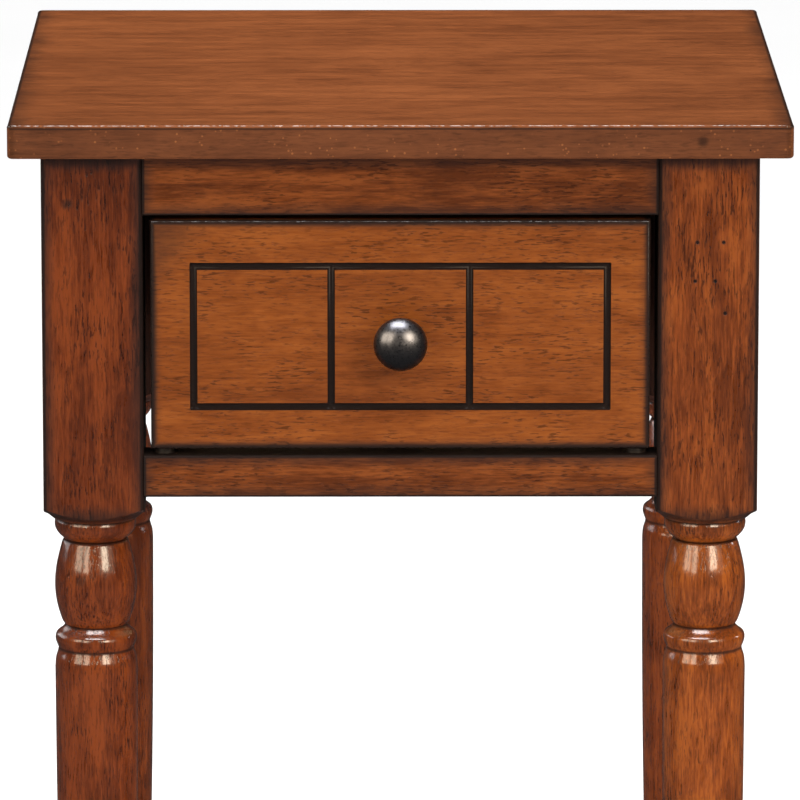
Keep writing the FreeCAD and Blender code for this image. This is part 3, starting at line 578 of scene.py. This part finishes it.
# Small pits and knots of the front legs, as (centre, inner radius, outer radius, strength).
LEG_MARKS = {
    "leg_front_left": [((-0.1726, POST_FACE, 0.591), 0.0008, 0.0034, 0.75),
                       ((-0.1678, -0.1806, 0.389), 0.0010, 0.0042, 0.45)],
    "leg_front_right": [((x, POST_FACE, z), 0.0006, 0.0014, 0.95)
                        for x, z in ((0.1542, 0.5704), (0.1678, 0.5704), (0.1532, 0.5500), (0.1636, 0.5500),
                                     (0.1688, 0.5330))],
}


def smooth_run(points, steps):
    """Points along a smooth curve through the given ones."""
    padded = [points[0], *points, points[-1]]
    result = []
    for p0, p1, p2, p3 in zip(padded, padded[1:], padded[2:], padded[3:]):
        for i in range(steps):
            t = i / steps
            result.append(tuple(0.5 * (2 * b + (c - a) * t + (2 * a - 5 * b + 4 * c - d) * t * t
                                       + (3 * b - a - 3 * c + d) * t ** 3)
                                for a, b, c, d in zip(p0, p1, p2, p3)))
    return result + [points[-1]]


def turned(name, rings, sides, centre=(0, 0, 0)):
    """A solid of revolution about an upright axis, drawn up ring by ring from (radius, height) pairs."""
    radius, level = rings[0]
    deselect()
    bpy.ops.mesh.primitive_circle_add(vertices=sides, radius=radius, fill_type="NGON",
                                      location=(centre[0], centre[1], level))
    obj = bpy.context.object
    obj.name = name
    freeze(obj)
    activate(obj)
    bpy.ops.object.mode_set(mode="EDIT")
    bpy.ops.mesh.select_mode(type="FACE")
    bpy.ops.mesh.select_all(action="SELECT")
    for (r0, z0), (r1, z1) in zip(rings, rings[1:]):
        bpy.ops.mesh.extrude_region_move(TRANSFORM_OT_translate={"value": (0, 0, z1 - z0)})
        bpy.ops.transform.resize(value=(r1 / r0, r1 / r0, 1), center_override=(centre[0], centre[1], z1))
    bpy.ops.object.mode_set(mode="OBJECT")
    return obj


class TABLE_OT_legs(bpy.types.Operator):
    """Turns one leg from a square blank and sets four of them"""

    bl_idname = "side_table.legs"
    bl_label = "Legs"

    def execute(self, context):
        s = context.scene.side_table
        low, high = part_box("leg_front_left")
        half = (high[0] - low[0]) / 2
        inner_face = -high[0]
        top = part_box("table_top")[1][2]
        face = top - POMMEL_DROP
        leg = block("leg_pattern", (-half, -half, low[2]), (half, half, high[2]))
        edit(leg, "EDGE")
        pick(leg, edges=lambda a, b: along(a, b, 2))
        bpy.ops.mesh.bevel(offset=s.post_arris, segments=7, profile=0.5, affect="EDGES")
        bpy.ops.object.mode_set(mode="OBJECT")
        rings = []
        for run, steps in zip(TURNINGS, (5, 5, 6, 5, 10, 6, 5)):
            rings += [(r, face - d) for r, d in smooth_run(run, steps)[:-1]]
        rings.append((TURNINGS[-1][-1][0], low[2] - 0.001))
        rings = [(r, face - d) for r, d in smooth_run(POMMEL, 5)[:-1]] + rings
        rings = [(0.050, high[2] + 0.002), (0.050, face + 0.0062)] + rings
        lathe = turned("leg_lathe", rings[::-1], s.lathe_sides)
        finish_normals(lathe)
        carve(leg, lathe, "INTERSECT")
        finish_mesh(leg, 40.0)

        def turned_part(n):
            return n.between(n.part(2), face - 0.020, face + 0.012, 1.0, 0.0)

        washes = {"leg_front_right": (turned_part, (1.34, 1.40, 1.10)),
                  "leg_front_left": (turned_part, (1.08, 1.06, 0.90))}
        legs = (("leg_front_left", 2.0, POST_TONES), ("leg_front_right", 3.1, RIGHT_POST_TONES),
                ("leg_rear_left", 4.3, REAR_TONES), ("leg_rear_right", 5.2, REAR_TONES))
        for node, seed, tones in legs:
            start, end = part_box(node)
            middle = (Vector(start) + Vector(end)) / 2
            piece = leg.copy()
            piece.data = leg.data.copy()
            piece.name = node.replace("leg_", "turned_leg_")
            context.collection.objects.link(piece)
            activate(piece)
            bpy.ops.object.mode_set(mode="EDIT")
            bpy.ops.mesh.select_all(action="SELECT")
            bpy.ops.transform.translate(value=(middle.x, middle.y, 0))
            bpy.ops.object.mode_set(mode="OBJECT")

            def shade(n, middle=middle, seed=seed):
                x = n.math("ABSOLUTE", n.math("SUBTRACT", n.part(0), middle.x))
                y = n.math("ABSOLUTE", n.math("SUBTRACT", n.part(1), middle.y))
                gap = n.math("SUBTRACT", half, n.math("MINIMUM", x, y))
                wobble = n.noise(n.stretch(grain_scale("Z", 4.0), (seed, 0, 0)), 60.0, 3.0)
                soft = n.math("ADD", gap, n.times(n.math("SUBTRACT", wobble, 0.5), 0.006))
                z = n.part(2)
                on_post = n.between(z, face - 0.0005, face + 0.003)
                line = n.times(n.between(gap, 0.0012, 0.0040, 0.95, 0.0), on_post)
                haze = n.times(n.between(soft, 0.0015, 0.0085, 0.60, 0.0), on_post)
                # Painted shade on the two faces of each square part that look into the table.
                inner, behind = (n.times(n.between(n.math("ABSOLUTE", n.part(axis)), inner_face + 0.0003,
                                                   inner_face + 0.0011, 1.0, 0.0), on_post)
                                 for axis in (0, 1))
                # Painted shadow of the top across the upper end of each post.
                shadow_under_top = n.between(z, high[2] - 0.011, high[2] - 0.003, 0.0, 0.80)
                # Painted shade round the pommel, where the square part ends over the turning.
                foot = n.times(n.between(z, face, face + 0.009, 0.75, 0.0),
                              n.between(z, face - 0.004, face - 0.001))
                masks = [line, haze, shadow_under_top, foot, n.times(inner, 0.93),
                         n.times(behind, 0.90)]
                # Painted shade in the creases between the rings.
                for drop in SHADED_CREASES:
                    away = n.math("ABSOLUTE", n.math("SUBTRACT", z, face - drop))
                    masks.append(n.between(away, 0.0003, 0.0013, 0.70, 0.0))
                return masks

            wood = stained_wood(node + "_stain", "Z", seed, *tones, shade, pores=0.75, gloss=0.30, coat=1.0,
                                coat_rough=0.12, coat_ior=1.75, contrast=0.055, wash=washes.get(node),
                                marks=LEG_MARKS.get(node, ()))
            settle(piece, "table", node, wood)
        mesh = leg.data
        bpy.data.objects.remove(leg)
        bpy.data.meshes.remove(mesh)
        return {"FINISHED"}


def finish_normals(obj):
    edit(obj, "VERT")
    bpy.ops.mesh.select_all(action="SELECT")
    bpy.ops.mesh.normals_make_consistent(inside=False)
    bpy.ops.object.mode_set(mode="OBJECT")


# -------------------------------------------------------- rails and aprons

def tenoned_board(name, node, axis, settings):
    """A board with eased arrises and a tenon drawn out of each end."""
    low, high = (Vector(v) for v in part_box(node))
    low[axis] += settings.tenon_length
    high[axis] -= settings.tenon_length
    board = block(name, low, high)
    ends = (low[axis], high[axis])
    edit(board, "FACE")
    pick(board, faces=lambda centre, normal: abs(normal[axis]) > 0.99)
    bpy.ops.mesh.inset(thickness=0.005, depth=0.0, use_individual=True)
    for end, sign in zip(ends, (-1, 1)):
        middle = (low + high) / 2
        middle[axis] = end
        edit(board, "FACE")
        pick(board, faces=lambda centre, normal, m=middle: (centre - m).length < 1e-4)
        step = [0, 0, 0]
        step[axis] = sign * settings.tenon_length
        bpy.ops.mesh.extrude_region_move(TRANSFORM_OT_translate={"value": step})
    edit(board, "EDGE")

    def long_arris(a, b):
        if not along(a, b, axis) or abs(b[axis] - a[axis]) < settings.tenon_length * 1.5:
            return False
        return all(near(a[i], low[i]) or near(a[i], high[i]) for i in range(3) if i != axis)

    pick(board, edges=long_arris)
    bpy.ops.mesh.bevel(offset=settings.board_arris, segments=4, profile=0.5, affect="EDGES")
    bpy.ops.object.mode_set(mode="OBJECT")
    finish_mesh(board)
    return board, (low, high)


class TABLE_OT_rails(bpy.types.Operator):
    """Builds the two front rails and the three aprons"""

    bl_idname = "side_table.rails"
    bl_label = "Rails and aprons"

    def execute(self, context):
        s = context.scene.side_table
        boards = (("upper_front_rail", 0, 6.0, RAIL_TONES), ("lower_front_rail", 0, 7.4, RAIL_TONES),
                  ("back_apron", 0, 8.1, APRON_TONES), ("side_apron_left", 1, 9.3, APRON_TONES),
                  ("side_apron_right", 1, 10.6, APRON_TONES))
        for node, axis, seed, tones in boards:
            board, box = tenoned_board(node + "_board", node, axis, s)
            low, high = box

            def shade(n, node=node, axis=axis, low=low, high=high):
                if node == "lower_front_rail":
                    # Painted shade on the lower rail's top face, in the gap under the drawer.
                    return [n.between(n.part(2), high.z - 0.0012, high.z - 0.0003, 0.0, 0.96)]
                if node == "upper_front_rail":
                    # Painted shade on the upper rail's lower face over the drawer, and painted shadow of the
                    # top's overhang on its upper part.
                    return [n.between(n.part(2), low.z + 0.0003, low.z + 0.0012, 0.96, 0.0),
                            n.between(n.part(2), high.z - 0.010, high.z - 0.002, 0.0, 0.55)]
                # Painted shade on each apron's inner face.
                across = n.math("ABSOLUTE", n.part(1 - axis))
                inside = (low if low[1 - axis] > 0 else high)[1 - axis]
                return [n.between(across, abs(inside) + 0.0003, abs(inside) + 0.0010, 0.88, 0.0)]

            wood = stained_wood(node + "_stain", AXES[axis], seed, *tones, shade, box=box,
                                edge=(0.0016, 0.0085, 0.95), pores=0.62, contrast=0.055, gloss=0.32,
                                coat=0.10, coat_rough=0.12)
            settle(board, "table", node, wood)
        return {"FINISHED"}


# --------------------------------------------------------------- the drawer

GROOVE_UPRIGHTS = (-0.1076, -0.0360, 0.0360, 0.1076)
GROOVE_LEVELS = (0.4834, 0.5577)


def router_cut(board, start, end, settings, face):
    """Runs a round-nosed cutter across a board's face from one point to another."""
    radius, depth = settings.groove_radius, settings.groove_depth
    y = face + depth - radius
    length = (Vector(end) - Vector(start)).length
    middle = (Vector(start) + Vector(end)) / 2
    upright = abs(end[1] - start[1]) > abs(end[0] - start[0])
    deselect()
    bpy.ops.mesh.primitive_cylinder_add(vertices=24, radius=radius, depth=length,
                                        location=(middle[0], y, middle[1]),
                                        rotation=(0, 0, 0) if upright else (0, math.pi / 2, 0))
    cutter = bpy.context.object
    freeze(cutter)
    edit(cutter, "FACE")
    axis = 2 if upright else 0
    pick(cutter, faces=lambda centre, normal: abs(normal[axis]) > 0.99)
    bpy.ops.mesh.select_mode(type="FACE")
    bpy.ops.mesh.inset(thickness=radius * 0.35, depth=radius * 0.15, use_individual=True)
    edit(cutter, "FACE")
    pick(cutter, faces=lambda centre, normal: normal.y < -0.2 and abs(normal[axis]) < 0.5 and centre.y < y)
    bpy.ops.mesh.extrude_region_move(TRANSFORM_OT_translate={"value": (0, -radius * 3, 0)})
    bpy.ops.object.mode_set(mode="OBJECT")
    finish_normals(cutter)
    carve(board, cutter, "DIFFERENCE")


class TABLE_OT_drawer_front(bpy.types.Operator):
    """Builds the drawer front with its routed frame of grooves"""

    bl_idname = "side_table.drawer_front"
    bl_label = "Drawer front"

    def execute(self, context):
        s = context.scene.side_table
        low, high = (Vector(v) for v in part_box("drawer_front"))
        front = block("grooved_drawer_front", low, high)
        edit(front, "EDGE")
        pick(front, edges=lambda a, b: near(a.y, low.y) and near(b.y, low.y))
        bpy.ops.mesh.bevel(offset=s.front_arris, segments=5, profile=0.5, affect="EDGES")
        bpy.ops.object.mode_set(mode="OBJECT")
        left, right = GROOVE_UPRIGHTS[0], GROOVE_UPRIGHTS[-1]
        bottom, top = GROOVE_LEVELS
        # The two sets of cuts end at different distances inside each other's walls, so no faces coincide.
        overrun = s.groove_radius * 0.80
        upright_overrun = s.groove_radius * 0.74
        for z in GROOVE_LEVELS:
            router_cut(front, (left - overrun, z), (right + overrun, z), s, low.y)
        for x in GROOVE_UPRIGHTS:
            router_cut(front, (x, bottom - upright_overrun), (x, top + upright_overrun), s, low.y)
        finish_mesh(front, 32.0)

        def shade(n):
            depth = n.math("SUBTRACT", n.part(1), low.y)
            framed = n.times(n.between(n.math("ABSOLUTE", n.part(0)), 0.1110, 0.1120, 1.0, 0.0),
                            n.times(n.between(n.part(2), bottom - 0.0040, bottom - 0.0030),
                                   n.between(n.part(2), top + 0.0030, top + 0.0040, 1.0, 0.0)))
            # Painted shade in the routed grooves.
            groove_shade = n.times(n.between(depth, 0.0001, 0.0010, 0.0, 0.97),
                               n.times(framed, n.between(depth, 0.0030, 0.0040, 1.0, 0.0)))
            wobble = n.noise(n.stretch((1, 1, 1), (3, 1, 0)), 45.0, 4.0, 0.6)
            corner = n.math("ADD", n.math("ADD", n.part(0), 0.130), n.math("SUBTRACT", high.z, n.part(2)))
            corner = n.math("ADD", corner, n.times(wobble, 0.05))
            blotch = n.between(corner, 0.030, 0.075, 0.55, 0.0)
            return [groove_shade, blotch]

        def rubbed(n):
            return n.times(n.between(n.edge_distance(low, high), 0.0006, 0.0014, 1.0, 0.0), 0.6)

        wood = stained_wood("drawer_front_stain", "X", 11.7, *FRONT_TONES, shade, box=(low, high),
                            edge=(0.0031, 0.0066, 0.95), pores=0.65, contrast=0.085, gloss=0.34, coat=0.08,
                            coat_rough=0.12, coat_ior=1.8, flecks=0.7, glint=rubbed)
        settle(front, "drawer", "drawer_front", wood)
        return {"FINISHED"}


KNOB_PROFILE = [
    [(0.0085, 0.0), (0.0085, 0.0014), (0.0078, 0.0024), (0.0072, 0.0030)],
    [(0.0072, 0.0030), (0.0056, 0.0065), (0.0064, 0.0100), (0.0116, 0.0142)],
    [(0.0116, 0.0142), (0.0135, 0.0158), (0.0140, 0.0176), (0.0131, 0.0196), (0.0101, 0.0223),
     (0.0059, 0.0242), (0.0012, 0.0250)],
]


class TABLE_OT_knob(bpy.types.Operator):
    """Turns the round metal knob"""

    bl_idname = "side_table.knob"
    bl_label = "Knob"

    def execute(self, context):
        low, high = (Vector(v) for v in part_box("knob"))
        rings = []
        for run in KNOB_PROFILE:
            rings += smooth_run(run, 6)[:-1]
        rings.append(KNOB_PROFILE[-1][-1])
        knob = turned("turned_knob", rings, 96)
        edit(knob, "VERT")
        bpy.ops.mesh.select_all(action="SELECT")
        bpy.ops.transform.rotate(value=-math.pi / 2, orient_axis="X", center_override=(0, 0, 0))
        bpy.ops.transform.translate(value=((low.x + high.x) / 2, high.y, (low.z + high.z) / 2))
        bpy.ops.object.mode_set(mode="OBJECT")
        finish_mesh(knob, 50.0)
        bronze = metal("dark_bronze", (0.205, 0.204, 0.226), (0.160, 0.159, 0.176), 0.30, 0.04, 900.0)
        settle(knob, "drawer", "knob", bronze)
        return {"FINISHED"}


class TABLE_OT_fittings(bpy.types.Operator):
    """Finishes the drawer's box, the runner, the cleats, the glides and the fasteners"""

    bl_idname = "side_table.fittings"
    bl_label = "Box, runner and fittings"

    def execute(self, context):
        maple = ((0.52, 0.33, 0.17), (0.38, 0.22, 0.10))
        finishes = {
            "plain_long": plain_wood("box_maple_lengthwise", "Y", *maple),
            "plain_cross": plain_wood("box_maple_crosswise", "X", *maple),
            "ply": plain_wood("bottom_plywood", "X", (0.56, 0.38, 0.21), (0.44, 0.28, 0.14), ply=True),
            "steel": metal("zinc_plate", (0.62, 0.62, 0.60), (0.42, 0.42, 0.41), 0.32, 0.08),
            "nylon": moulded("white_nylon", (0.78, 0.76, 0.70), (0.70, 0.68, 0.61), 0.42),
            # Dark brown nylon, darkened further so the glides pass for the shade in the gap under the drawer.
            "brown_nylon_and_shade": moulded("brown_nylon_and_shade", (0.030, 0.018, 0.012), (0.020, 0.012, 0.009), 0.45),
            "rubber": moulded("black_rubber", (0.035, 0.034, 0.033), (0.020, 0.020, 0.020), 0.62),
        }
        chosen = {
            "plain_long": ("drawer_side_left", "drawer_side_right", "centre_runner", "top_cleat_left",
                           "top_cleat_right"),
            "plain_cross": ("drawer_back", "top_cleat_back"),
            "ply": ("drawer_bottom",),
            "steel": ("top_screws", "cleat_screws", "runner_screws", "knob_screw", "rear_guide_screws",
                      "drawer_brads", "foot_glide_nails"),
            "brown_nylon_and_shade": ("drawer_glides", "rear_guide"),
            "nylon": ("foot_glide_front_left", "foot_glide_front_right",
                      "foot_glide_rear_left", "foot_glide_rear_right"),
            "rubber": ("drawer_bumpers",),
        }
        for finish, nodes in chosen.items():
            for node in nodes:
                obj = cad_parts[node]
                obj.data.materials.clear()
                obj.data.materials.append(finishes[finish])
        return {"FINISHED"}


# ---------------------------------------------------------------- the stage

WHITE = (1.0, 1.0, 1.0)
WARM = (1.0, 0.84, 0.62)
# Each light as (name, azimuth, elevation, distance, width, height, power, what it lights, colour).
LIGHTS = (
    ("key", 35, 24, 2.8, 0.60, 0.62, 32, "body", WHITE),
    ("fill", -37, 21, 2.8, 0.60, 0.50, 15, "body", WHITE),
    ("side_left", -132, 22, 2.6, 0.55, 1.1, 26, "body", WHITE),
    ("side_right", 108, 14, 2.6, 0.30, 0.35, 6, "body", WHITE),
    ("back", 180, 62, 2.4, 1.6, 0.35, 8, "body", WHITE),
    ("right_window", 32, 16.5, 2.8, 2.4, 1.34, 8, "shine", WARM),
    ("right_window_core", 26.5, 18, 2.8, 0.92, 1.1, 29, "shine", WARM),
    ("left_window_outer", -51.5, 16.5, 2.8, 1.02, 1.30, 18, "shine", WARM),
    ("left_window_inner", -28.5, 16.5, 2.8, 0.72, 1.30, 15, "shine", WARM),
    ("far_left_window", -120, 16.5, 2.8, 2.3, 1.30, 17, "shine", WHITE),
    ("far_right_window", 107, 14, 2.6, 0.30, 0.45, 4, "shine", WHITE),
    ("ceiling_panel", -12, 64, 2.4, 1.6, 0.9, 44, "shine", WHITE),
)


def softbox(name, azimuth, elevation, distance, width, height, power, lights, tint):
    """A flat light that looks at the table. Azimuth 0 is in front, and it grows towards the right.

    lights is body for the body colour alone, or shine for the reflections alone."""
    a, e = math.radians(azimuth), math.radians(elevation)
    target = Vector((0, 0, 0.45))
    way = Vector((math.sin(a) * math.cos(e), -math.cos(a) * math.cos(e), math.sin(e)))
    light = bpy.data.lights.new(name, "AREA")
    light.shape = "RECTANGLE"
    light.size, light.size_y = width, height
    light.energy = power
    light.color = tint
    obj = bpy.data.objects.new(name, light)
    obj.location = target + way * distance
    obj.rotation_euler = (-way).to_track_quat("-Z", "Y").to_euler()
    obj.visible_diffuse = lights != "shine"
    obj.visible_glossy = lights != "body"
    bpy.context.collection.objects.link(obj)
    return obj


class TABLE_OT_stage(bpy.types.Operator):
    """Sets the floor, the lights and the camera"""

    bl_idname = "side_table.stage"
    bl_label = "Stage"

    def execute(self, context):
        s = context.scene.side_table_stage
        deselect()
        bpy.ops.mesh.primitive_plane_add(size=60, location=(0, 0, 0))
        floor = context.object
        floor.name = "studio_floor"
        n = Nodes("pale_floor")
        speck = n.noise(n.stretch((1, 1, 1)), 3.0, 2.0)
        pale = n.ramp(speck, [(0.3, (0.96, 0.96, 0.96)), (0.7, (0.975, 0.975, 0.975))])
        mirrored = n.add("ShaderNodeLightPath").outputs["Is Glossy Ray"]
        n.feed(n.shader.inputs["Base Color"], n.mix(mirrored, pale, (0.03, 0.03, 0.03)))
        n.shader.inputs["Roughness"].default_value = 0.9
        n.shader.inputs["Specular IOR Level"].default_value = 0.1
        floor.data.materials.append(n.material)
        world = bpy.data.worlds.new("studio")
        context.scene.world = world
        world.use_nodes = True
        nodes, links = world.node_tree.nodes, world.node_tree.links
        path = nodes.new("ShaderNodeLightPath")
        level = nodes.new("ShaderNodeMix")
        links.new(path.outputs["Is Camera Ray"], level.inputs["Factor"])
        level.inputs["A"].default_value = 0.04
        level.inputs["B"].default_value = 1.0
        nodes["Background"].inputs["Color"].default_value = (1, 1, 1, 1)
        links.new(level.outputs["Result"], nodes["Background"].inputs["Strength"])
        for light in LIGHTS:
            softbox(*light)
        sky = bpy.data.lights.new("overhead_diffuser", "SUN")
        sky.energy = 3.15
        sky.angle = math.radians(70)
        overhead = bpy.data.objects.new("overhead_diffuser", sky)
        overhead.rotation_euler = (math.radians(14), math.radians(6), 0)
        overhead.visible_glossy = False
        context.collection.objects.link(overhead)
        camera = bpy.data.cameras.new("camera")
        camera.lens = s.lens
        camera.sensor_width = 36
        camera.clip_end = 100
        eye = bpy.data.objects.new("camera", camera)
        eye.location = (s.camera_x, s.camera_y, s.camera_z)
        eye.rotation_euler = (math.pi / 2 - s.pitch, 0, -s.yaw)
        context.collection.objects.link(eye)
        context.scene.camera = eye
        context.scene.view_settings.view_transform = "Standard"
        context.scene.view_settings.look = "None"
        return {"FINISHED"}


# ------------------------------------------------------------------ the panel

class TABLE_PT_panel(bpy.types.Panel):
    """Buttons that build the table, piece by piece"""

    bl_label = "Side table"
    bl_idname = "TABLE_PT_panel"
    bl_space_type = "VIEW_3D"
    bl_region_type = "UI"
    bl_category = "Side table"

    def draw(self, context):
        for name in STEPS:
            self.layout.operator(f"side_table.{name}")


STEPS = ("top", "legs", "rails", "drawer_front", "knob", "fittings", "stage")
CLASSES = (JoinerySettings, StageSettings, TABLE_OT_top, TABLE_OT_legs, TABLE_OT_rails, TABLE_OT_drawer_front,
           TABLE_OT_knob, TABLE_OT_fittings, TABLE_OT_stage, TABLE_PT_panel)


def register():
    for cls in CLASSES:
        bpy.utils.register_class(cls)
    bpy.types.Scene.side_table = PointerProperty(type=JoinerySettings)
    bpy.types.Scene.side_table_stage = PointerProperty(type=StageSettings)


def unregister():
    del bpy.types.Scene.side_table_stage
    del bpy.types.Scene.side_table
    for cls in reversed(CLASSES):
        bpy.utils.unregister_class(cls)


def main():
    """Builds the whole table."""
    register()
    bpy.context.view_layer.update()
    for name in STEPS:
        if getattr(bpy.ops.side_table, name)() != {"FINISHED"}:
            raise RuntimeError(f"{name} did not finish")


if __name__ == "__main__":
    main()
